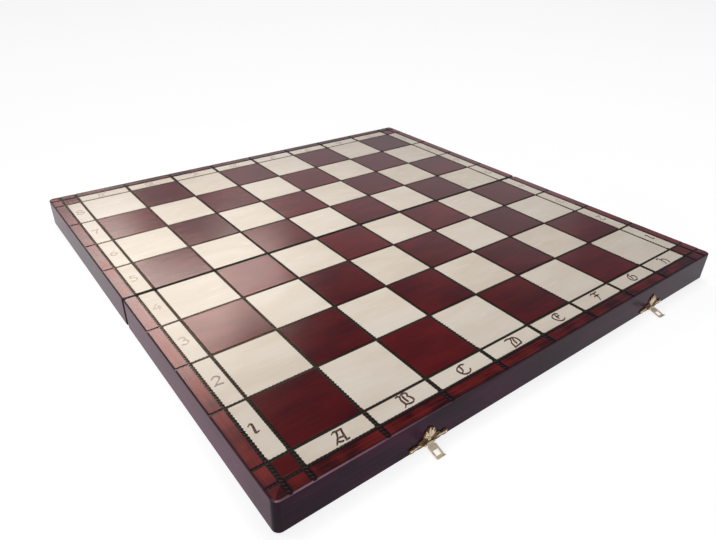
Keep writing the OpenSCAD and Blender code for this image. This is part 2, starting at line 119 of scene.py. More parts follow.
camera = bpy.data.objects.new("camera", bpy.data.cameras.new("camera"))
bpy.context.scene.collection.objects.link(camera)
camera.data.sensor_width, camera.data.lens = SENSOR_W, LENS
turn = (LOOKS_AT - CAMERA_AT).to_track_quat("-Z", "Y").to_matrix() @ Matrix.Rotation(ROLL, 3, "Z")
camera.matrix_world = Matrix.Translation(CAMERA_AT) @ turn.to_4x4()
bpy.context.scene.camera = camera
print("camera at", [round(v, 3) for v in CAMERA_AT])

# %% [markdown]
# ## Writing materials as arithmetic
#
# A node tree could be wired by hand in the editor. In a script the same tree reads better as
# arithmetic. `Wire` holds one output socket, and its operators add Math nodes. `Tree` adds any
# other node from its settings and its inputs. `Finish` is the tree of one material, with the
# patterns that wood, felt and brass share. Noise seldom leaves the middle of its range, so
# `spread` stretches that middle to the whole of it.

# %% Wires, trees and finishes
class Wire:
    """An output socket of a node tree that Python's operators work on."""

    def __init__(self, tree, socket):
        self.tree, self.socket = tree, socket

    def maths(self, operation, *others):
        """This wire, and the others after it, through a Math node."""
        return self.tree.node("ShaderNodeMath", {"operation": operation}, dict(enumerate((self, *others))))

    def __add__(self, other):
        return self.maths("ADD", other)

    def __sub__(self, other):
        return self.maths("SUBTRACT", other)

    def __rsub__(self, other):
        return self.tree.node("ShaderNodeMath", {"operation": "SUBTRACT"}, {0: other, 1: self})

    def __mul__(self, other):
        return self.maths("MULTIPLY", other)

    __radd__, __rmul__ = __add__, __mul__


class Tree:
    """A node tree that grows node by node."""

    def __init__(self, node_tree):
        self.node_tree = node_tree

    def node(self, kind, settings, inputs, output=0):
        """Adds a node: first its settings, then the numbers, colours or wires of its inputs."""
        node = self.node_tree.nodes.new(kind)
        for name, value in settings.items():
            if name == "stops":
                self.set_stops(node.color_ramp, value)
            else:
                setattr(node, name, value)
        for name, value in inputs.items():
            self.feed(node.inputs[name], value)
        return Wire(self, node.outputs[output])

    def set_stops(self, ramp, stops):
        while len(ramp.elements) < len(stops):
            ramp.elements.new(1.0)
        for element, (position, colour) in zip(ramp.elements, stops):
            element.position = position
            element.color = (*colour, 1.0)

    def feed(self, socket, value):
        if isinstance(value, Wire):
            self.node_tree.links.new(value.socket, socket)
        elif socket.type == "RGBA" and len(value) == 3:
            socket.default_value = (*value, 1.0)
        else:
            socket.default_value = value


class Finish(Tree):
    """The tree of one material, which starts with a Principled shader."""

    def __init__(self, name, roughness=0.5, **fixed):
        self.material = bpy.data.materials.new(name)
        self.material.use_nodes = True
        super().__init__(self.material.node_tree)
        self.shader = self.node_tree.nodes["Principled BSDF"]
        self.shader.inputs["Roughness"].default_value = roughness
        for socket, value in fixed.items():
            self.shader.inputs[socket.replace("_", " ")].default_value = value
        self.place = self.node("ShaderNodeTexCoord", {}, {}, "Object")

    def noise(self, size, detail=3.0, stretch=(1, 1, 1), distortion=0.0):
        """Noise whose grains measure about size metres, longer along each stretched axis."""
        scaled = self.node("ShaderNodeMapping", {}, {
            "Vector": self.place, "Scale": [1 / (size * s) for s in stretch],
        })
        return self.node("ShaderNodeTexNoise", {}, {
            "Vector": scaled, "Scale": 1.0, "Detail": detail, "Distortion": distortion,
        })

    def spread(self, value, low, high, to_low=0.0, to_high=1.0):
        """Maps low..high smoothly to to_low..to_high and holds the ends beyond them."""
        return self.node("ShaderNodeMapRange", {"interpolation_type": "SMOOTHSTEP"}, {
            "Value": value, "From Min": low, "From Max": high, "To Min": to_low, "To Max": to_high,
        })

    def mix(self, share, first, second):
        """Mixes two colours: share 0 gives the first, share 1 the second."""
        return self.node("ShaderNodeMix", {"data_type": "RGBA"}, {0: share, 6: first, 7: second}, 2)

    def axes(self):
        """The X, Y and Z of the place on the board, as three wires."""
        split = self.node("ShaderNodeSeparateXYZ", {}, {0: self.place}).socket.node
        return [Wire(self, split.outputs[k]) for k in range(3)]

    def bump(self, height, distance, strength):
        normal = self.node("ShaderNodeBump", {}, {
            "Strength": strength, "Distance": distance, "Height": height,
        })
        self.feed(self.shader.inputs["Normal"], normal)

    def colour(self, value):
        self.feed(self.shader.inputs["Base Color"], value)

    def rough(self, value):
        self.feed(self.shader.inputs["Roughness"], value)


# %% [markdown]
# ## The burned grid
#
# The lines look as if a hot toothed roller had burned them in: it scorched the wood beside each
# line, and its slanted teeth bit into the edges of the cells. These marks could be cut into the
# meshes, but they are only as deep as a stain. So they are worked out from the place on the
# board: how far it lies from the nearest line, and where it lies between two teeth. The step
# from tooth to tooth divides the squares evenly, so that the stain and the modelled marks keep
# step all over the board. All lines run on through the margin, where those between the files
# are wider.

# %% Scorching beside the lines
TEETH_PER_SQUARE = 19
STRAND_STEP = PITCH / TEETH_PER_SQUARE
TOOTH_LEAN = 0.8
FILE_BITE, RANK_BITE = 0.60 * MM, 0.20 * MM
CHAR_FADE = 0.35 * MM
RAGGED_GRAIN, RAGGED_REACH = 1.1 * MM, 0.5 * MM
WIDER_IN_MARGIN = 0.65 * MM
FOLD_CHAR = 2.5 * MM


def scorched(finish, edge):
    """1 on the burned lines and 0 on clean wood, for lines that are 2 * edge wide."""
    x, y, _ = finish.axes()
    ragged = (finish.noise(RAGGED_GRAIN, 2.0) - 0.5) * RAGGED_REACH
    y_out = y.maths("ABSOLUTE")
    margin = y_out.maths("GREATER_THAN", FIELD - LINE_W)

    def near_line(off_line, along, reach, bite):
        turn = (along + off_line * TOOTH_LEAN) * (2 * math.pi / STRAND_STEP)
        tooth = 0.0 - turn.maths("COSINE")
        reach = tooth.maths("MAXIMUM", 0.0) * bite + reach + ragged
        return finish.spread(off_line.maths("ABSOLUTE") - reach, 0.0, CHAR_FADE, 1.0, 0.0)

    burned = finish.spread(y_out + ragged, FOLD_CHAR, FOLD_CHAR + CHAR_FADE, 1.0, 0.0)
    between_files = (x, y, margin * WIDER_IN_MARGIN + edge, FILE_BITE)
    between_ranks = (y, x, edge, RANK_BITE)
    for across, along, reach, bite in (between_files, between_ranks):
        off_grid = across.maths("WRAP", PITCH / 2, -PITCH / 2)
        off_strip = across - across.maths("SIGN") * STRIP_EDGE
        for off_line in (off_grid, off_strip):
            burned = burned.maths("MAXIMUM", near_line(off_line, along, reach, bite))
    return burned


# %% [markdown]
# ## Varnished veneer
#
# The cells are thin veneer under a satin varnish. An image of wood would repeat, so the grain is
# noise, stretched along X. Each cell also gets a shade of its own: its place is snapped to the
# grid, and that number feeds white noise. The char is nearly black. Towards the left edge it is
# painted a paler brown, a painted sheen, except at the near corner and at the fold.

# %% Veneer
ALONG_X, ALONG_Y = (40, 1, 1), (1, 40, 1)
# The paler char colour and where it lies paint the varnish's sheen onto the lines: a painted sheen.
CHARRED, CHAR_SHEEN = (0.026, 0.018, 0.011), (0.200, 0.140, 0.092)
CHAR_SHEEN_BEYOND_Y = (-0.95 * FIELD, -0.35 * FIELD)
CHAR_SHEEN_LEFT_OF_X = (-0.85 * FIELD, -0.60 * FIELD)
CELL_SCORCHED_TO = LINE_W / 2 - 0.20 * MM


def char(finish):
    """The colour of the burned lines at each place on the board, with a painted sheen towards the left edge.
    """
    x, y, _ = finish.axes()
    off_fold = finish.spread(y.maths("ABSOLUTE"), FOLD_CHAR, 2 * FOLD_CHAR)
    painted_sheen = finish.spread(y, *CHAR_SHEEN_BEYOND_Y) * finish.spread(x, *CHAR_SHEEN_LEFT_OF_X, 1.0, 0.0) * off_fold
    return finish.mix(painted_sheen, CHARRED, CHAR_SHEEN)


def cell_shade(finish):
    """One random number for each cell of the board."""
    snapped = finish.node("ShaderNodeVectorMath", {"operation": "SNAP"},
                          {0: finish.place, 1: (PITCH, PITCH, 1.0)}, "Vector")
    return finish.node("ShaderNodeTexWhiteNoise", {}, {"Vector": snapped}, "Value")


def veneer(name, deep, fair, roughness, varnish, tint):
    finish = Finish(name, roughness, Specular_IOR_Level=varnish, Specular_Tint=(*tint, 1.0))
    fibres = finish.noise(0.5 * MM, 4.0, ALONG_X)
    clouds = finish.noise(22 * MM, 2.0, (3, 1, 1))
    shade = cell_shade(finish)
    share = finish.spread(fibres, 0.3, 0.7) * 0.30 + finish.spread(clouds, 0.3, 0.7) * 0.35 + shade * 0.35
    burned = scorched(finish, CELL_SCORCHED_TO)
    finish.colour(finish.mix(burned, finish.mix(share, deep, fair), char(finish)))
    finish.rough(roughness + 0.08 * finish.noise(5 * MM, 2.0, (6, 1, 1)) - 0.04)
    finish.bump(fibres, 0.02 * MM, 0.35)
    return finish.material


PALE_DEEP, PALE_FAIR = (0.66, 0.56, 0.44), (0.78, 0.71, 0.61)
RED_DEEP, RED_FAIR = (0.032, 0.0024, 0.0058), (0.132, 0.0085, 0.0092)
CLEAR, RED_SHINE = (1.0, 1.0, 1.0), (1.0, 0.66, 0.60)
pale_veneer = veneer("pale_veneer", PALE_DEEP, PALE_FAIR, roughness=0.26, varnish=0.15, tint=CLEAR)
red_veneer = veneer("red_veneer", RED_DEEP, RED_FAIR, roughness=0.18, varnish=0.28, tint=RED_SHINE)
print("veneers:", pale_veneer.name, red_veneer.name)

# %% [markdown]
# ## Stained rails
#
# The rails are solid wood under a red stain. Their tops are polished and streaked along the
# rail. Their walls are a dark maroon with less varnish, so they need a weaker reflection. That is
# one number for a whole material, so the top, the wall and the narrow rounded rim between them
# get a material each. The tops are darker along the outer edge. The walls are darker in the
# corners, a painted dark reflection, and at the fold, stain with painted shade in the gap. The rim
# is painted paler towards the left, a painted glint.

# %% The tops of the rails
RAIL_DARK, SHADE_AND_STAIN_DARK = (0.016, 0.004, 0.007), (0.013, 0.006, 0.010)
TOP_SHINE = (1.0, 0.72, 0.68)
EDGE_DARK, EDGE_FADED, EDGE_WANDERS = 1.4 * MM, 2.8 * MM, 1.5 * MM


def outer_edge(finish, clouds):
    """1 beside the board's outer edge, where the tops are darker, and 0 further in."""
    x, y, _ = finish.axes()
    furthest_out = x.maths("ABSOLUTE").maths("MAXIMUM", y.maths("ABSOLUTE"))
    inset = OUTER - furthest_out + (clouds - 0.5) * EDGE_WANDERS
    return finish.spread(inset, EDGE_DARK, EDGE_FADED, 1.0, 0.0)


def rail_top(name, stretch, deep, fair, varnish, line_reach):
    finish = Finish(name, 0.20, Specular_IOR_Level=varnish, Specular_Tint=(*TOP_SHINE, 1.0))
    streaks = finish.noise(1.3 * MM, 4.0, stretch, distortion=0.4)
    fibres = finish.noise(0.4 * MM, 3.0, stretch)
    clouds = finish.noise(26 * MM, 2.0)
    share = finish.spread(streaks, 0.38, 0.70) * 0.55 + finish.spread(clouds, 0.35, 0.65) * 0.6 - 0.15
    red = finish.mix(share, deep, fair)
    burned = scorched(finish, line_reach)
    dark = burned.maths("MAXIMUM", outer_edge(finish, clouds) * 0.85)
    finish.colour(finish.mix(dark, red, RAIL_DARK))
    finish.rough(0.18 + 0.10 * clouds)
    finish.bump(fibres, 0.02 * MM, 0.4)
    return finish.material


# %% Their rims and walls
# Where the rim is painted paler, a painted glint: from the left end, fading out before the middle.
RIM_GLINT_X = (-0.95 * OUTER, -0.25 * OUTER)
# Walls darken in the corners, a painted dark reflection, and at the fold, stain with painted shade.
CORNER_REFLECTION_FROM_TO = (2 * OUTER - 8.0 * MM, 2 * OUTER - 4.8 * MM)
FOLD_SHADE_AND_STAIN = (2.0 * MM, 5.0 * MM)


def rail_rim(name, glint):
    """The narrow round edge between top and wall, painted paler towards the left: a painted glint."""
    finish = Finish(name, 0.28, Specular_IOR_Level=0.25)
    x = finish.axes()[0]
    patches = finish.noise(9 * MM, 2.0)
    share = finish.spread(x, *RIM_GLINT_X, 1.0, 0.0) * finish.spread(patches, 0.25, 0.55, 0.5, 1.0)
    finish.colour(finish.mix(share, RAIL_DARK, glint))
    return finish.material


def rail_wall(name, stretch, deep, fair, gloss):
    finish = Finish(name, 0.30, Specular_IOR_Level=gloss)
    streaks = finish.noise(1.8 * MM, 4.0, stretch, distortion=0.5)
    fibres = finish.noise(0.4 * MM, 3.0, stretch)
    clouds = finish.noise(28 * MM, 2.0, [1 + 0.05 * s for s in stretch])
    share = finish.spread(streaks, 0.35, 0.75) * 0.35 + finish.spread(clouds, 0.35, 0.65) * 0.65
    x, y, _ = finish.axes()
    y_out = y.maths("ABSOLUTE")
    # A painted dark reflection in the corners, and stain with painted shade at the fold.
    corner = finish.spread(x.maths("ABSOLUTE") + y_out, *CORNER_REFLECTION_FROM_TO)
    shade_and_stain = corner.maths("MAXIMUM", finish.spread(y_out, *FOLD_SHADE_AND_STAIN, 1.0, 0.0))
    maroon = finish.mix(share, deep, fair)
    finish.colour(finish.mix(shade_and_stain, maroon, SHADE_AND_STAIN_DARK))
    finish.rough(0.14 + 0.12 * clouds)
    finish.bump(fibres, 0.03 * MM, 0.5)
    return finish.material


# %% The finishes of the two kinds of rail, with painted sheen and painted shade
# One stain on all rails: the side tops take a lighter red, a painted sheen, and the end walls a darker
# maroon, painted shade.
END_TOP_DEEP, END_TOP_FAIR = (0.026, 0.0026, 0.0055), (0.170, 0.012, 0.010)
END_WALL_SHADED_DEEP, END_WALL_SHADED_FAIR = (0.011, 0.0030, 0.0080), (0.042, 0.0065, 0.0250)
# The rims' paler colours are a painted glint: strong on the end rails, faint on the side rails.
END_RIM_GLINT, SIDE_RIM_GLINT = (0.210, 0.105, 0.135), (0.030, 0.008, 0.013)
SIDE_TOP_SHEEN_DEEP, SIDE_TOP_SHEEN_FAIR = (0.080, 0.0080, 0.0120), (0.230, 0.022, 0.016)
SIDE_WALL_DEEP, SIDE_WALL_FAIR = (0.026, 0.0060, 0.0140), (0.084, 0.0140, 0.0430)
RAIL_FINISHES = {
    "end": (
        rail_top("end_rail_top", ALONG_X, END_TOP_DEEP, END_TOP_FAIR, varnish=0.22, line_reach=1.8 * MM),
        rail_wall("end_rail_wall", ALONG_X, END_WALL_SHADED_DEEP, END_WALL_SHADED_FAIR, gloss=0.050),
        rail_rim("end_rail_rim", END_RIM_GLINT),
    ),
    "side": (
        rail_top("side_rail_top", ALONG_Y, SIDE_TOP_SHEEN_DEEP, SIDE_TOP_SHEEN_FAIR, varnish=0.42, line_reach=1.4 * MM),
        rail_wall("side_rail_wall", ALONG_Y, SIDE_WALL_DEEP, SIDE_WALL_FAIR, gloss=0.036),
        rail_rim("side_rail_rim", SIDE_RIM_GLINT),
    ),
}
for kind, finishes in RAIL_FINISHES.items():
    print(kind, "rails:", [material.name for material in finishes])

# %% [markdown]
# ## Inner and burned wood
#
# The inner rails are stained about as dark as the walls, but stay rougher. The panel's top shows
# in the burned lines, where it is charred. The rope-like marks in these lines take the same char
# with a little more shine, as if the roller had pressed them smooth.

# %% Inner wood and charring
INNER_DEEP, INNER_FAIR = (0.022, 0.005, 0.007), (0.080, 0.016, 0.017)
SOOT = (0.007, 0.005, 0.003)


def inner_wood():
    finish = Finish("inner_wood", 0.45, Specular_IOR_Level=0.3)
    streaks = finish.noise(1.2 * MM, 4.0, ALONG_X, distortion=0.3)
    finish.colour(finish.mix(finish.spread(streaks, 0.3, 0.75), INNER_DEEP, INNER_FAIR))
    finish.bump(finish.noise(0.5 * MM, 3.0, ALONG_X), 0.05 * MM, 0.5)
    return finish.material


def charred_wood(name, roughness, gloss):
    finish = Finish(name, roughness, Specular_IOR_Level=gloss)
    crust = finish.noise(0.8 * MM, 3.0)
    # The char's paler brown towards the left edge, a painted sheen, reaches the panel and the marks too.
    finish.colour(finish.mix(finish.spread(crust, 0.35, 0.65), SOOT, char(finish)))
    finish.bump(crust, 0.08 * MM, 0.6)
    return finish.material


inner_rail_wood = inner_wood()
burned_panel = charred_wood("burned_panel", roughness=0.7, gloss=0.15)
burned_rope = charred_wood("burned_rope", roughness=0.36, gloss=0.22)
print("woods:", inner_rail_wood.name, burned_panel.name, burned_rope.name)

# %% [markdown]
# ## Felt
#
# The trays are lined with thin green felt. Felt has no weave: its fibres point everywhere, so
# fine noise in the colour and in the bump is enough, with a little sheen for the fuzz.

# %% Felt
FELT_DEEP, FELT_FAIR = (0.010, 0.050, 0.024), (0.030, 0.125, 0.060)


def felt():
    finish = Finish("green_felt", 0.95, Specular_IOR_Level=0.15, Sheen_Weight=0.35, Sheen_Roughness=0.5)
    fuzz = finish.noise(0.5 * MM, 5.0)
    clouds = finish.noise(18 * MM, 3.0)
    share = finish.spread(fuzz, 0.3, 0.7) * 0.6 + clouds * 0.4
    finish.colour(finish.mix(share, FELT_DEEP, FELT_FAIR))
    finish.bump(fuzz, 0.2 * MM, 0.8)
    return finish.material


green_felt = felt()
print("lining:", green_felt.name)

# %% [markdown]
# ## Brass
#
# The clasps are stamped brass with an antique finish: dark in the hollows and rubbed bright on
# the raised parts. How far a point stands out from the wall tells which it is. The hinges and
# the wire are plain brass, slightly dull, and share the same recipe without the hollows. The
# hasps are the least yellow and the roughest, and are only partly metallic.

# %% Brass
BACKDROP_Y, RELIEF_TOP = OUTER + 0.80 * MM, OUTER + 1.45 * MM
HOLLOW_WANDERS = 0.5 * MM


def brass(name, bright, tarnished, tarnish, roughness, antique=False, metallic=1.0):
    finish = Finish(name, roughness, Metallic=metallic)
    spots = finish.noise(1.1 * MM, 4.0)
    marks = finish.noise(0.25 * MM, 2.0, (6, 1, 1))
    dull = finish.spread(spots, 0.66 - tarnish, 0.80 - tarnish / 2)
    if antique:
        stands_out = finish.axes()[1].maths("ABSOLUTE") + (spots - 0.5) * HOLLOW_WANDERS
        hollow = finish.spread(stands_out, BACKDROP_Y, RELIEF_TOP, 1.0, 0.0)
        dull = hollow.maths("MAXIMUM", dull * 0.7)
    finish.colour(finish.mix(dull, bright, tarnished))
    finish.rough(roughness + 0.25 * dull)
    finish.bump(marks, 0.01 * MM, 0.5)
    return finish.material


clasp_brass = brass("clasp_brass", (0.64, 0.52, 0.38), (0.150, 0.088, 0.040), tarnish=0.10, roughness=0.28,
                    antique=True)
hasp_brass = brass("hasp_brass", (0.76, 0.63, 0.47), (0.52, 0.40, 0.27), tarnish=0.14, roughness=0.42,
                   metallic=0.35)
hinge_brass = brass("hinge_brass", (0.80, 0.60, 0.28), (0.42, 0.29, 0.13), tarnish=0.12, roughness=0.24)
wire_brass = brass("wire_brass", (0.80, 0.64, 0.36), (0.40, 0.29, 0.14), tarnish=0.10, roughness=0.20)
print("brass:", clasp_brass.name, hasp_brass.name, hinge_brass.name, wire_brass.name)

# %% [markdown]
# ## Softened copies
#
# Real wooden and brass edges are never sharp. A frame part can't be changed, so it is copied,
# its loose triangles are merged, and a bevel follows its sharp edges. The copy then replaces
# the part. The softened edge catches the light that shows where one piece ends.

# %% Copy a part and soften its edges
SHARP = math.radians(32)
MERGE = 0.002 * MM
FLAT = math.radians(0.5)


def merged_copy(node):
    """A part's mesh with its corners merged and its flat faces whole again."""
    mesh = bmesh.new()
    mesh.from_mesh(nodes[node].data)
    bmesh.ops.remove_doubles(mesh, verts=mesh.verts, dist=MERGE)
    bmesh.ops.dissolve_limit(mesh, angle_limit=FLAT, verts=mesh.verts, edges=mesh.edges)
    for face in mesh.faces:
        face.material_index = 0
    return mesh


def finished_piece(mesh, name, materials, body, smooth=SHARP):
    """Makes a bmesh an object that rides on a body and takes a slot's finish."""
    data = bpy.data.meshes.new(name)
    mesh.to_mesh(data)
    mesh.free()
    for material in materials:
        data.materials.append(material)
    if smooth:
        data.polygons.foreach_set("use_smooth", [True] * len(data.polygons))
        data.set_sharp_from_angle(angle=smooth)
    piece = bpy.data.objects.new(name, data)
    bpy.context.scene.collection.objects.link(piece)
    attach(piece, body)
    return piece


def body_of_node(node):
    return body_of(nodes[node])[0]


def even_shading(piece):
    """Keeps large faces flat to the light where they are smoothed into a narrow bevel."""
    weights = piece.modifiers.new("even_shading", "WEIGHTED_NORMAL")
    weights.keep_sharp = True


def softened(node, materials, width, mesh=None):
    """Replaces a part with a copy whose sharp edges are rounded by width."""
    piece = finished_piece(mesh or merged_copy(node), node + "_soft", materials,
                           body_of_node(node))
    bevel = piece.modifiers.new("soft_edges", "BEVEL")
    bevel.limit_method, bevel.angle_limit = "ANGLE", SHARP
    bevel.width, bevel.segments = width, 2
    even_shading(piece)
    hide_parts(node)
    return piece


# %% [markdown]
# ## The cells
#
# Each cell is a thin tile whose upper edge was scorched and pressed down by the roller. Its
# corners are slightly round. So the tile's upright edges are bevelled first, and then the rim
# of its top. One bevel for both would make the corners as small as the rim.

# %% Cells with rolled edges
CELL_CORNER = 1.0 * MM
CELL_ROLL = 0.35 * MM


def upright(edge):
    along = edge.verts[1].co - edge.verts[0].co
    return abs(along.z) > 0.9 * along.length


def on_top(edge):
    return all(abs(v.co.z - TOP) < MERGE for v in edge.verts)


def rounded(mesh, edges, radius, segments):
    bmesh.ops.bevel(mesh, geom=edges, offset=radius, affect="EDGES", segments=segments, profile=0.5,
                    material=-1)


def cells(node, name, material):
    mesh = merged_copy(node)
    rounded(mesh, [e for e in mesh.edges if upright(e)], CELL_CORNER, 3)
    rounded(mesh, [e for e in mesh.edges if on_top(e)], CELL_ROLL, 2)
    piece = finished_piece(mesh, name, [material], body_of_node(node))
    even_shading(piece)
    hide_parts(node)
    print(name, len(piece.data.polygons), "faces")


for half, (body, _) in HALVES.items():
    cells(body + "_light_squares", half + "_pale_cells", pale_veneer)
    cells(body + "_dark_squares", half + "_red_cells", red_veneer)

# %% [markdown]
# ## Rails, inner rails and panels
#
# The rails keep the frame's shape, with its rounded edges and the grooves across their tops.
# Only the small sharp edges are softened. The panels and inner rails hardly show and keep
# their own meshes, with better materials.

# %% Rails
EDGE_SOFT = 0.25 * MM
WALL_BELOW_TILT, TOP_ABOVE_TILT = 0.25, 0.92
TOP_FINISH, WALL_FINISH, RIM_FINISH = range(3)


def finish_for_tilt(tilt):
    """Which of a rail's finishes a face takes, from the Z of its normal."""
    if tilt > TOP_ABOVE_TILT:
        return TOP_FINISH
    return WALL_FINISH if tilt < WALL_BELOW_TILT else RIM_FINISH


def rail(node, finishes):
    mesh = merged_copy(node)
    for face in mesh.faces:
        face.material_index = finish_for_tilt(face.normal.z)
    piece = softened(node, finishes, EDGE_SOFT, mesh)
    print(piece.name, len(piece.data.polygons), "faces before its bevel")


for body, long_rail in (("lid", "lid_clasp_rail"), ("base", "base_catch_rail")):
    rail(long_rail, RAIL_FINISHES["end"])
    for side in ("left", "right"):
        rail(f"{body}_{side}_rail", RAIL_FINISHES["side"])


# %% Parts that keep their own meshes
def dress(node, material):
    """Gives a frame part, which keeps its own mesh, a better material."""
    nodes[node].data.materials.clear()
    nodes[node].data.materials.append(material)


for body in ("lid", "base"):
    dress(body + "_hinge_rail", inner_rail_wood)
    dress(body + "_panel", burned_panel)

# %% [markdown]
# ## The burned lines
#
# Each burned line holds a row of slanted marks like the strands of a rope. A bump could draw
# them, but they catch the light from the side, so each mark is a small bead in the groove.
# There are thousands of beads, so each has few faces, and a whole row is built once and laid
# down again for every line. A row ends just short of the board's outer edge.

# %% Rope-like lines
STRAND_DEEP = 1.2 * MM
SHORT_OF_EDGE = 1.0 * MM
ALONG_FILES = {"size": (4.4 * MM, 1.8 * MM, STRAND_DEEP), "slant": math.radians(58), "sunk": 0.06 * MM}
ALONG_RANKS = {"size": (3.4 * MM, 1.9 * MM, STRAND_DEEP), "slant": math.radians(42), "sunk": 0.50 * MM}


def points_of(geometry):
    """The points among what a bmesh operator made."""
    return [part for part in geometry if isinstance(part, bmesh.types.BMVert)]


def strand_row(count, size, slant, sunk):
    """A row of slanted marks along X, from the origin, as many as count."""
    row = bmesh.new()
    bmesh.ops.create_uvsphere(row, u_segments=6, v_segments=4, radius=0.5)
    bmesh.ops.scale(row, vec=size, verts=row.verts)
    bmesh.ops.rotate(row, cent=(0, 0, 0), matrix=Matrix.Rotation(slant, 3, "Z"), verts=row.verts)
    bmesh.ops.translate(row, vec=(STRAND_STEP / 2, 0, TOP - sunk - STRAND_DEEP / 2), verts=row.verts)
    for face in row.faces:
        face.smooth = True
    first_mark = list(row.verts) + list(row.edges) + list(row.faces)
    for k in range(1, count):
        copy = bmesh.ops.duplicate(row, geom=first_mark)["geom"]
        bmesh.ops.translate(row, vec=(k * STRAND_STEP, 0, 0), verts=points_of(copy))
    data = bpy.data.meshes.new("row")
    row.to_mesh(data)
    row.free()
    return data


def lay_row(mesh, row, start, heading):
    """Adds a row that starts at a point and runs along a heading, in radians from X."""
    known = len(mesh.verts)
    mesh.from_mesh(row)
    mesh.verts.ensure_lookup_table()
    place = Matrix.Translation(start) @ Matrix.Rotation(heading, 4, "Z")
    bmesh.ops.transform(mesh, matrix=place, verts=mesh.verts[known:])


def burned_lines(half, body, side):
    """All the marks of one half: across it from the fold outwards, and along it."""
    mesh = bmesh.new()
    marks = math.floor((OUTER - SHORT_OF_EDGE) / STRAND_STEP)
    outward = strand_row(marks, **ALONG_FILES)
    for x in [k * PITCH for k in range(-HALF, HALF + 1)] + [-STRIP_EDGE, STRIP_EDGE]:
        lay_row(mesh, outward, (x, 0, 0), side * math.pi / 2)
    sideways = strand_row(2 * marks, **ALONG_RANKS)
    for y in [k * PITCH for k in range(1, HALF + 1)] + [STRIP_EDGE]:
        lay_row(mesh, sideways, (-marks * STRAND_STEP, side * y, 0), 0)
    for row in (outward, sideways):
        bpy.data.meshes.remove(row)
    piece = finished_piece(mesh, half + "_burned_lines", [burned_rope], body, smooth=None)
    print(piece.name, len(piece.data.polygons), "faces")


for half, (body, side) in HALVES.items():
    burned_lines(half, body, side)

# %% [markdown]
# ## Lettering
#
# The files carry letters and the ranks carry numbers, in the old style of a broad pen. A font
# would need a file, so each character is a list of pen strokes instead, and each stroke a list
# of points, in millimetres from the middle of a cell.

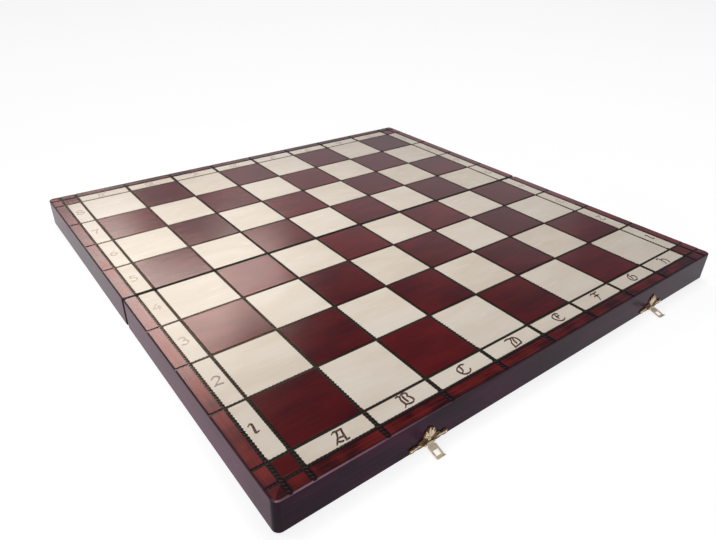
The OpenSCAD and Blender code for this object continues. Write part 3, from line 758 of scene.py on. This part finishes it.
# %% Strokes of the letters and digits
GLYPHS = {
    "A": [[(-0.5, 4.5), (1.5, 5.6), (4.5, 5.0), (8.2, 5.2)],
          [(8.2, 5.2), (7.2, 2.0), (6.4, -2.0), (5.8, -6.2)],
          [(5.4, -6.0), (8.4, -5.8)], [(3.6, 4.8), (2.2, 1.0), (0.2, -1.8), (-2.8, -6.0)],
          [(0.2, -2.0), (3.0, -1.4), (6.2, -2.2)], [(-0.6, -4.0), (1.2, -5.2), (3.2, -5.6)]],
    "B": [[(-2.8, 6.4), (-0.5, 6.7), (0.4, 5.0), (-0.8, 2.0), (-0.7, -1.4), (-0.8, -4.0), (-2.9, -6.2)],
          [(0.8, 5.4), (2.8, 6.6), (6.2, 6.8), (7.8, 5.2), (6.4, 2.6)],
          [(6.4, 2.5), (7.8, 0.4), (8.4, -2.6), (6.9, -4.6), (3.7, -5.0), (0.2, -4.0)],
          [(2.9, 5.0), (2.6, 1.5), (3.0, -2.4)]],
    "C": [[(6.2, 4.0), (3.1, 5.0), (-0.7, 4.0), (-3.4, 2.4), (-4.2, 0.0), (-3.6, -2.6), (-2.7, -4.8),
           (-0.2, -6.3), (3.0, -6.3), (6.0, -4.9), (7.0, -3.0)],
          [(1.0, 3.9), (0.8, 1.0), (-0.2, -2.0), (-2.8, -3.6)]],
    "D": [[(-4.8, 5.2), (-1.0, 5.6), (1.8, 4.8), (5.4, 4.6), (7.6, 1.8), (7.6, -2.0), (6.6, -5.2)],
          [(2.3, 4.5), (0.6, 1.5), (-1.3, 0.0), (-2.2, -3.4), (-3.4, -6.4)],
          [(6.6, -5.2), (2.0, -5.8), (-3.4, -6.4)], [(4.4, 3.4), (3.0, 0.4), (2.4, -3.4)]],
    "E": [[(6.1, 3.8), (5.2, 5.6), (1.3, 5.6), (-2.7, 3.6), (-3.4, 0.2), (-1.9, -3.4), (0.4, -5.4),
           (3.6, -5.8), (6.8, -4.2)],
          [(3.4, 5.2), (1.6, 2.2), (1.4, -1.6)], [(1.6, 1.6), (5.2, 1.4)]],
    "F": [[(-3.6, 4.4), (-1.2, 5.8), (2.9, 5.2), (7.6, 5.8)],
          [(2.6, 5.4), (1.8, 2.0), (1.4, -2.0), (-1.6, -6.0)], [(-1.8, 0.8), (1.6, 1.4), (5.4, 0.8)]],
    "G": [[(4.2, 6.2), (0.6, 5.2), (-2.6, 2.8), (-4.3, -1.6), (-2.4, -4.8), (2.0, -5.4), (5.5, -2.8),
           (6.0, 0.6), (3.4, 2.2)],
          [(1.4, 4.8), (0.8, 1.2), (-0.6, -2.6)]],
    "H": [[(-4.4, 5.0), (-2.2, 6.0), (-0.6, 4.4), (-1.2, 0.6), (-1.6, -3.0), (-3.4, -6.0)],
          [(-1.2, 0.8), (1.8, 2.4), (4.6, 0.8), (4.8, -2.6), (3.2, -6.2)]],
    "1": [[(-3.8, 5.2), (-2.4, 6.4), (-0.9, 5.6), (-1.2, 2.0), (-2.0, -2.0), (-1.9, -3.8), (0.5, -3.4)],
          [(-0.9, 5.6), (-1.2, 2.0), (-2.0, -3.4)]],
    "2": [[(-3.4, 3.2), (-1.4, 5.4), (1.2, 5.2), (3.0, 3.2), (2.0, 0.4), (-1.2, -2.4), (-4.4, -5.4)],
          [(-4.4, -5.4), (-1.6, -4.9), (2.8, -5.8)]],
    "3": [[(-4.0, 4.6), (-1.4, 5.9), (1.2, 4.4), (0.6, 1.8), (-1.4, 0.6)],
          [(-1.4, 0.6), (1.6, 0.2), (2.2, -3.0), (-0.6, -5.6), (-4.4, -4.4)]],
    "4": [[(0.8, 5.4), (-2.0, 1.8), (-4.4, -1.6)], [(-4.4, -1.6), (0.0, -1.9), (3.4, -1.4)],
          [(1.4, 1.6), (1.1, -2.0), (0.8, -5.4)]],
    "5": [[(2.6, 5.6), (-0.4, 5.0), (-2.6, 5.6)],
          [(-2.6, 5.6), (-3.0, 1.2), (0.4, 1.4), (2.6, -1.2), (1.0, -4.8), (-1.6, -5.6), (-4.0, -4.2)]],
    "6": [[(2.4, 5.6), (-1.2, 3.4), (-3.6, -0.8), (-2.6, -4.6), (0.2, -5.6), (2.8, -3.2), (1.6, 0.0),
           (-1.6, -0.4)]],
    "7": [[(-4.0, 3.8), (-3.2, 5.2), (0.0, 4.6), (3.6, 5.4)], [(3.6, 5.4), (1.0, 0.6), (-0.8, -5.6)]],
    "8": [[(-0.6, 0.4), (-4.0, 3.0), (-2.2, 6.2), (1.4, 6.0), (3.2, 3.2), (-0.6, 0.4), (-4.6, -2.6),
           (-2.8, -6.2), (1.4, -6.2), (4.0, -3.2), (-0.6, 0.4)]],
}
print(len(GLYPHS), "characters of", sum(len(strokes) for strokes in GLYPHS.values()), "strokes")

# %% [markdown]
# The pen itself is modelled: a flat nib, held at a slant, is dragged along each stroke. Between
# two points it covers a hexagon, and a triangulation with constraints melts all the hexagons of
# a letter into one outline. A face that no hexagon covers lies in the eye of a letter, and is
# left out.

# %% The pen
NIB_W, NIB_T = 1.9 * MM, 0.9 * MM
NIB_TILT = math.radians(38)
STEPS_PER_SPAN = 5
WELD = 1e-7


def smooth_path(points):
    """A curve through the points, with a few steps from each to the next."""
    ends = [2 * points[0] - points[1], *points, 2 * points[-1] - points[-2]]
    path = [points[0]]
    for a, b, c, d in zip(ends, ends[1:], ends[2:], ends[3:]):
        for k in range(1, STEPS_PER_SPAN + 1):
            t = k / STEPS_PER_SPAN
            path.append(0.5 * (2 * b + (c - a) * t + (2 * a - 5 * b + 4 * c - d) * t**2
                               + (3 * b - a - 3 * c + d) * t**3))
    return path


def nib_corners():
    broad = Vector((math.cos(NIB_TILT), math.sin(NIB_TILT))) * NIB_W / 2
    thin = Vector((-broad.y, broad.x)).normalized() * NIB_T / 2
    return [broad + thin, thin - broad, -broad - thin, broad - thin]


def hull(points):
    """The convex outline round a few flat points, counter-clockwise."""
    points = sorted((p.x, p.y) for p in points)
    outline = []
    for run in (points, points[::-1]):
        start = len(outline)
        for x, y in run:
            while len(outline) - start >= 2:
                (ax, ay), (bx, by) = outline[-2:]
                if (bx - ax) * (y - ay) - (by - ay) * (x - ax) > 0:
                    break
                outline.pop()
            outline.append((x, y))
        outline.pop()
    return [Vector(p) for p in outline]


def glyph_outline(strokes):
    """The merged area that the nib covers: flat points and faces."""
    corners, verts, faces = nib_corners(), [], []
    for stroke in strokes:
        path = smooth_path([Vector(point) * MM for point in stroke])
        for a, b in zip(path, path[1:]):
            outline = hull([p + c for p in (a, b) for c in corners])
            faces.append(list(range(len(verts), len(verts) + len(outline))))
            verts.extend(outline)
    flat_verts, _, flat_faces, _, _, made_of = delaunay_2d_cdt(verts, [], faces, 1, WELD)
    return flat_verts, [face for face, covered_by in zip(flat_faces, made_of) if covered_by]


# %% [markdown]
# The ink is a film that stands out from the cell by a few hundredths of a millimetre. The
# letters on the far strip and the numbers on the right one are turned round, to be read from the
# far side. The ink is dark brown on the near strip and is painted paler towards the far side, a
# painted sheen. Blotches of wear also make it paler here and there.

# %% Lettering
INK_T = 0.03 * MM
# The paler ink colour serves both the blotches of wear and a painted sheen towards the far side.
INK, WORN_AND_SHEEN_INK = (0.060, 0.014, 0.013), (0.60, 0.47, 0.37)
INK_SHEEN_FROM_TO = (-0.88 * FIELD, -0.42 * FIELD)


def add_glyph(mesh, character, x, y, turned):
    """One character, flat on a cell at x and y, turned half round or not."""
    flat_verts, flat_faces = glyph_outline(GLYPHS[character])
    made = [mesh.verts.new((v.x, v.y, 0)) for v in flat_verts]
    faces = [mesh.faces.new([made[k] for k in face]) for face in flat_faces]
    raised = points_of(bmesh.ops.extrude_face_region(mesh, geom=faces)["geom"])
    bmesh.ops.translate(mesh, vec=(0, 0, INK_T), verts=raised)
    own = {v for f in faces for v in f.verts} | set(raised)
    place = Matrix.Translation((x, y, TOP)) @ Matrix.Rotation(math.pi if turned else 0, 4, "Z")
    bmesh.ops.transform(mesh, matrix=place, verts=list(own))


def ink():
    finish = Finish("brown_ink", 0.26, Specular_IOR_Level=0.2)
    blotches = finish.noise(1.0 * MM, 3.0)
    y = finish.axes()[1]
    # Paler towards the far side: a painted sheen. The blotches are wear.
    wear_and_sheen = finish.spread(y, *INK_SHEEN_FROM_TO) * 0.75 + finish.spread(blotches, 0.35, 0.75) * 0.25
    finish.colour(finish.mix(wear_and_sheen, INK, WORN_AND_SHEEN_INK))
    return finish.material


def lettering(half, body, side):
    mesh = bmesh.new()
    for k, letter in enumerate("ABCDEFGH"):
        add_glyph(mesh, letter, (k - (SQUARES - 1) / 2) * PITCH, side * STRIP_MID, side > 0)
    for k in range(HALF):
        rank = HALF - k if side < 0 else HALF + 1 + k
        y = side * (k + 0.5) * PITCH
        add_glyph(mesh, str(rank), -STRIP_MID, y, False)
        add_glyph(mesh, str(rank), STRIP_MID, y, True)
    bmesh.ops.recalc_face_normals(mesh, faces=mesh.faces)
    piece = finished_piece(mesh, half + "_lettering", [brown_ink], body, smooth=None)
    print(piece.name, len(piece.data.polygons), "faces")


brown_ink = ink()
for half, (body, side) in HALVES.items():
    lettering(half, body, side)

# %% [markdown]
# ## Linings
#
# The felt is cut to the tray and glued under the panel. It isn't perfectly flat, and its cut
# edge is soft. A grid is bent a fraction of a millimetre and given a wall by Solidify, whose
# result a bevel would only make heavier.

# %% Felt linings
FELT_STEP = 6 * MM
FELT_WAVE = 0.12 * MM


def wave(x, y):
    """Slow waves between -1 and 1. The factors of x and y are radians per metre."""
    return (math.sin(61 * x) * math.sin(47 * y + 1.3) + math.sin(23 * x + 31 * y)) / 2


def lining(node, half):
    low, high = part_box(node)
    size, middle = high - low, (low + high) / 2
    steps = [round(side / FELT_STEP) for side in size]
    mesh = bmesh.new()
    bmesh.ops.create_grid(mesh, x_segments=steps[0], y_segments=steps[1], size=0.5)
    bmesh.ops.scale(mesh, vec=(size.x, size.y, 1), verts=mesh.verts)
    bmesh.ops.translate(mesh, vec=middle, verts=mesh.verts)
    for v in mesh.verts:
        v.co.z += FELT_WAVE * wave(v.co.x, v.co.y)
    bmesh.ops.recalc_face_normals(mesh, faces=mesh.faces)
    piece = finished_piece(mesh, half + "_felt", [green_felt], body_of_node(node))
    wall = piece.modifiers.new("thickness", "SOLIDIFY")
    wall.thickness, wall.offset = size.z - 2 * FELT_WAVE, 0.0
    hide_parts(node)
    print(piece.name, [round(v / MM, 1) for v in size])


for half, (body, _) in HALVES.items():
    lining(body + "_lining", half)

# %% [markdown]
# ## Brass fittings
#
# The plates, hasps and hinge leaves are stamped from sheet, so their edges are rounded. The
# pins, nails and screws are turned and already round, and they keep their own meshes. The
# relief of a clasp plate could be a bump, but its leaves are what catches the light, so each is
# a flattened ball set into the pressed front. Five fan out in the crown, three lie on each wing,
# and a boss covers the foot of the fan.

# %% The pressed front and its leaves
STAMPED = 0.12 * MM
RIM_W, PRESSED_DEEP = 0.55 * MM, 0.28 * MM
FACING_FRONT = -0.999


def pressed_front(mesh):
    """Presses in the front of a clasp plate, all but a rim, and says where the front lies."""
    front = [f for f in mesh.faces if f.normal.y < FACING_FRONT]
    plate = max(front, key=lambda f: f.calc_area()).calc_center_median().y
    front = [f for f in front if abs(f.calc_center_median().y - plate) < MERGE]
    bmesh.ops.inset_region(mesh, faces=front, thickness=RIM_W, depth=-PRESSED_DEEP, use_even_offset=True)
    return plate


def leaf(mesh, foot, angle, length, width, height):
    """A raised leaf on the plane of a plate: it starts at foot and points along angle."""
    made = bmesh.ops.create_uvsphere(mesh, u_segments=12, v_segments=8, radius=0.5)["verts"]
    bmesh.ops.scale(mesh, vec=(length, height, width), verts=made)
    bmesh.ops.translate(mesh, vec=(length / 2, 0, 0), verts=made)
    bmesh.ops.rotate(mesh, cent=(0, 0, 0), matrix=Matrix.Rotation(-math.radians(angle), 3, "Y"), verts=made)
    bmesh.ops.translate(mesh, vec=foot, verts=made)


# %% The brass parts
CROWN_LEAVES = (  # degrees up from +X, then length and width in millimetres
    (90, 12.6, 2.7), (66, 11.2, 2.5), (114, 11.2, 2.5), (42, 9.0, 2.3), (138, 9.0, 2.3),
)
WING_LEAVES = (  # millimetres from the middle, degrees, and length in millimetres
    (8.0, 24, 5.4), (11.2, 16, 5.2), (14.4, 8, 4.6),
)
CROWN_FOOT, WING_FOOT = 5.6 * MM, 2.4 * MM
LEAF_HEIGHT, WING_LEAF_W = 1.1 * MM, 1.9 * MM
BOSS_LENGTH, BOSS_WIDTH, BOSS_HEIGHT, BOSS_DROP = 3.6 * MM, 3.4 * MM, 1.5 * MM, 0.6 * MM


def clasp_plate(side):
    """The plate with its relief: a fan of leaves, a row of them on each wing, and a boss."""
    node = f"{side}_clasp_plate"
    mesh = merged_copy(node)
    low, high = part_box(node)
    middle, foot_z = (low.x + high.x) / 2, low.z + CROWN_FOOT
    plate = pressed_front(mesh)
    for angle, length, width in CROWN_LEAVES:
        leaf(mesh, (middle, plate, foot_z), angle, length * MM, width * MM, LEAF_HEIGHT)
    for turned in (False, True):
        for x, angle, length in WING_LEAVES:
            foot = (middle + (-x if turned else x) * MM, plate, low.z + WING_FOOT)
            leaf(mesh, foot, 180 - angle if turned else angle, length * MM, WING_LEAF_W, LEAF_HEIGHT)
    boss_foot = (middle - BOSS_LENGTH / 2, plate, foot_z - BOSS_DROP)
    leaf(mesh, boss_foot, 0, BOSS_LENGTH, BOSS_WIDTH, BOSS_HEIGHT)
    piece = softened(node, [clasp_brass], STAMPED, mesh)
    print(piece.name, len(piece.data.polygons), "faces before its bevel")


for side in ("left", "right"):
    clasp_plate(side)
    softened(f"{side}_catch_plate", [clasp_brass], STAMPED)
    softened(f"{side}_hasp", [hasp_brass], STAMPED)
    for body in ("lid", "base"):
        softened(f"{side}_hinge_{body}_leaf", [hinge_brass], STAMPED)
    dress(f"{side}_hinge_pin", wire_brass)
    dress(f"{side}_clasp_pin", wire_brass)
for node in ("lid_hinge_screws", "base_hinge_screws", "clasp_plate_nails", "catch_plate_nails"):
    dress(node, wire_brass)

# %% [markdown]
# ## Floor
#
# The floor is a plain sheet that looks white and keeps the board's shadow. More light would
# whiten it too, but would bleach the board. So a glow is added that only the camera, mirrors and
# glass see, over a grey that still darkens in the shadow. To all other light the floor is a
# plain pale grey.

# %% Floor
FLOOR_SIZE = 60.0
FLOOR_GREY, SHADED_GREY = (0.80, 0.80, 0.80), (0.32, 0.32, 0.32)
WHITE, GLOW = (1.0, 1.0, 1.0), 0.80


def floor_material():
    material = bpy.data.materials.new("floor")
    material.use_nodes = True
    tree = Tree(material.node_tree)
    tree.node_tree.nodes.remove(tree.node_tree.nodes["Principled BSDF"])
    seen = tree.node("ShaderNodeLightPath", {}, {}, "Is Camera Ray")
    for ray in ("Is Glossy Ray", "Is Transmission Ray"):
        seen = seen.maths("MAXIMUM", tree.node("ShaderNodeLightPath", {}, {}, ray))
    plain = tree.node("ShaderNodeBsdfDiffuse", {}, {"Color": FLOOR_GREY})
    shaded = tree.node("ShaderNodeBsdfDiffuse", {}, {"Color": SHADED_GREY})
    glow = tree.node("ShaderNodeEmission", {}, {"Color": WHITE, "Strength": GLOW})
    glowing = tree.node("ShaderNodeAddShader", {}, {0: shaded, 1: glow})
    surface = tree.node("ShaderNodeMixShader", {}, {0: seen, 1: plain, 2: glowing})
    tree.feed(tree.node_tree.nodes["Material Output"].inputs["Surface"], surface)
    return material


floor_mesh = bmesh.new()
bmesh.ops.create_grid(floor_mesh, x_segments=1, y_segments=1, size=FLOOR_SIZE / 2)
floor_data = bpy.data.meshes.new("floor")
floor_mesh.to_mesh(floor_data)
floor_mesh.free()
floor_data.materials.append(floor_material())
floor = bpy.data.objects.new("floor", floor_data)
bpy.context.scene.collection.objects.link(floor)
print("floor", FLOOR_SIZE, "m wide")

# %% [markdown]
# ## Lamps
#
# A spot over the left edge and a softbox high overhead light the board's top. Three soft suns
# and a low window stand beyond the far side, where the varnish mirrors them. A broad low lamp at
# the near left fills the walls, and a faint one at the near right draws the rim.

# %% Lamps
WARM, NEARLY_WHITE, ROSY = (1.0, 0.90, 0.83), (1.0, 0.94, 0.92), (1.0, 0.88, 0.96)
MIDDLE = (0, 0, 0)


def lamp(name, kind, at, target, **settings):
    data = bpy.data.lights.new(name, kind)
    for key, value in settings.items():
        setattr(data, key, value)
    made = bpy.data.objects.new(name, data)
    bpy.context.scene.collection.objects.link(made)
    at, target = Vector(at), Vector(target)
    turn = (target - at).to_track_quat("-Z", "Y").to_matrix().to_4x4()
    made.matrix_world = Matrix.Translation(at) @ turn
    print(name, kind.lower(), [round(v, 2) for v in at])


def direction(azimuth, elevation):
    """A unit vector: azimuth is turned from +Y towards +X."""
    a, e = math.radians(azimuth), math.radians(elevation)
    return Vector((math.sin(a) * math.cos(e), math.cos(a) * math.cos(e), math.sin(e)))


lamp("window", "SUN", direction(17, 35), MIDDLE, energy=0.33, angle=math.radians(11), color=WARM)
lamp("window_left", "SUN", direction(11.5, 27.5), MIDDLE, energy=0.09, angle=math.radians(7), color=WARM)
lamp("window_right", "SUN", direction(26, 31.5), MIDDLE, energy=0.12, angle=math.radians(8), color=WARM)
lamp("low_window", "AREA", direction(42, 23) * 3.5, MIDDLE, energy=3.4, shape="RECTANGLE", size=2.6,
     size_y=0.9, color=NEARLY_WHITE)
lamp("spot", "SPOT", (-0.5, 0.15, 1.0), (-0.12, 0.06, 0), energy=23.0, spot_size=math.radians(48),
     spot_blend=1.0, shadow_soft_size=0.2)
lamp("softbox", "AREA", (0.3, 0.2, 2.5), MIDDLE, energy=16.0, shape="DISK", size=1.2)
lamp("wall_fill", "AREA", direction(236, 8) * 2.2, (0, 0, 0.02), energy=30.0, shape="RECTANGLE",
     size=1.6, size_y=0.4)
lamp("rim_light", "AREA", direction(147, 31) * 2.0, (0, -0.3, 0), energy=1.8, shape="RECTANGLE",
     size=1.4, size_y=0.3, color=ROSY)

# %% [markdown]
# ## World
#
# The world is a cool grey that darkens upwards, so that the varnish mirrors a paler band near
# the horizon and a darker one overhead.

# %% World
HORIZON, OVERHEAD = (0.44, 0.46, 0.52), (0.15, 0.155, 0.17)
PALE_UP_TO, DARK_FROM = 0.28, 0.62

world = bpy.data.worlds.new("world")
bpy.context.scene.world = world
world.use_nodes = True
sky = Tree(world.node_tree)
look = sky.node("ShaderNodeTexCoord", {}, {}, "Generated")
height = sky.node("ShaderNodeSeparateXYZ", {}, {0: look}, "Z")
shade = sky.node("ShaderNodeValToRGB", {"stops": ((PALE_UP_TO, HORIZON), (DARK_FROM, OVERHEAD))}, {0: height})
background = world.node_tree.nodes["Background"]
sky.feed(background.inputs["Color"], shade)
sky.feed(background.inputs["Strength"], 1.0)

bpy.context.scene.view_settings.view_transform = "Standard"
print("view transform", bpy.context.scene.view_settings.view_transform)
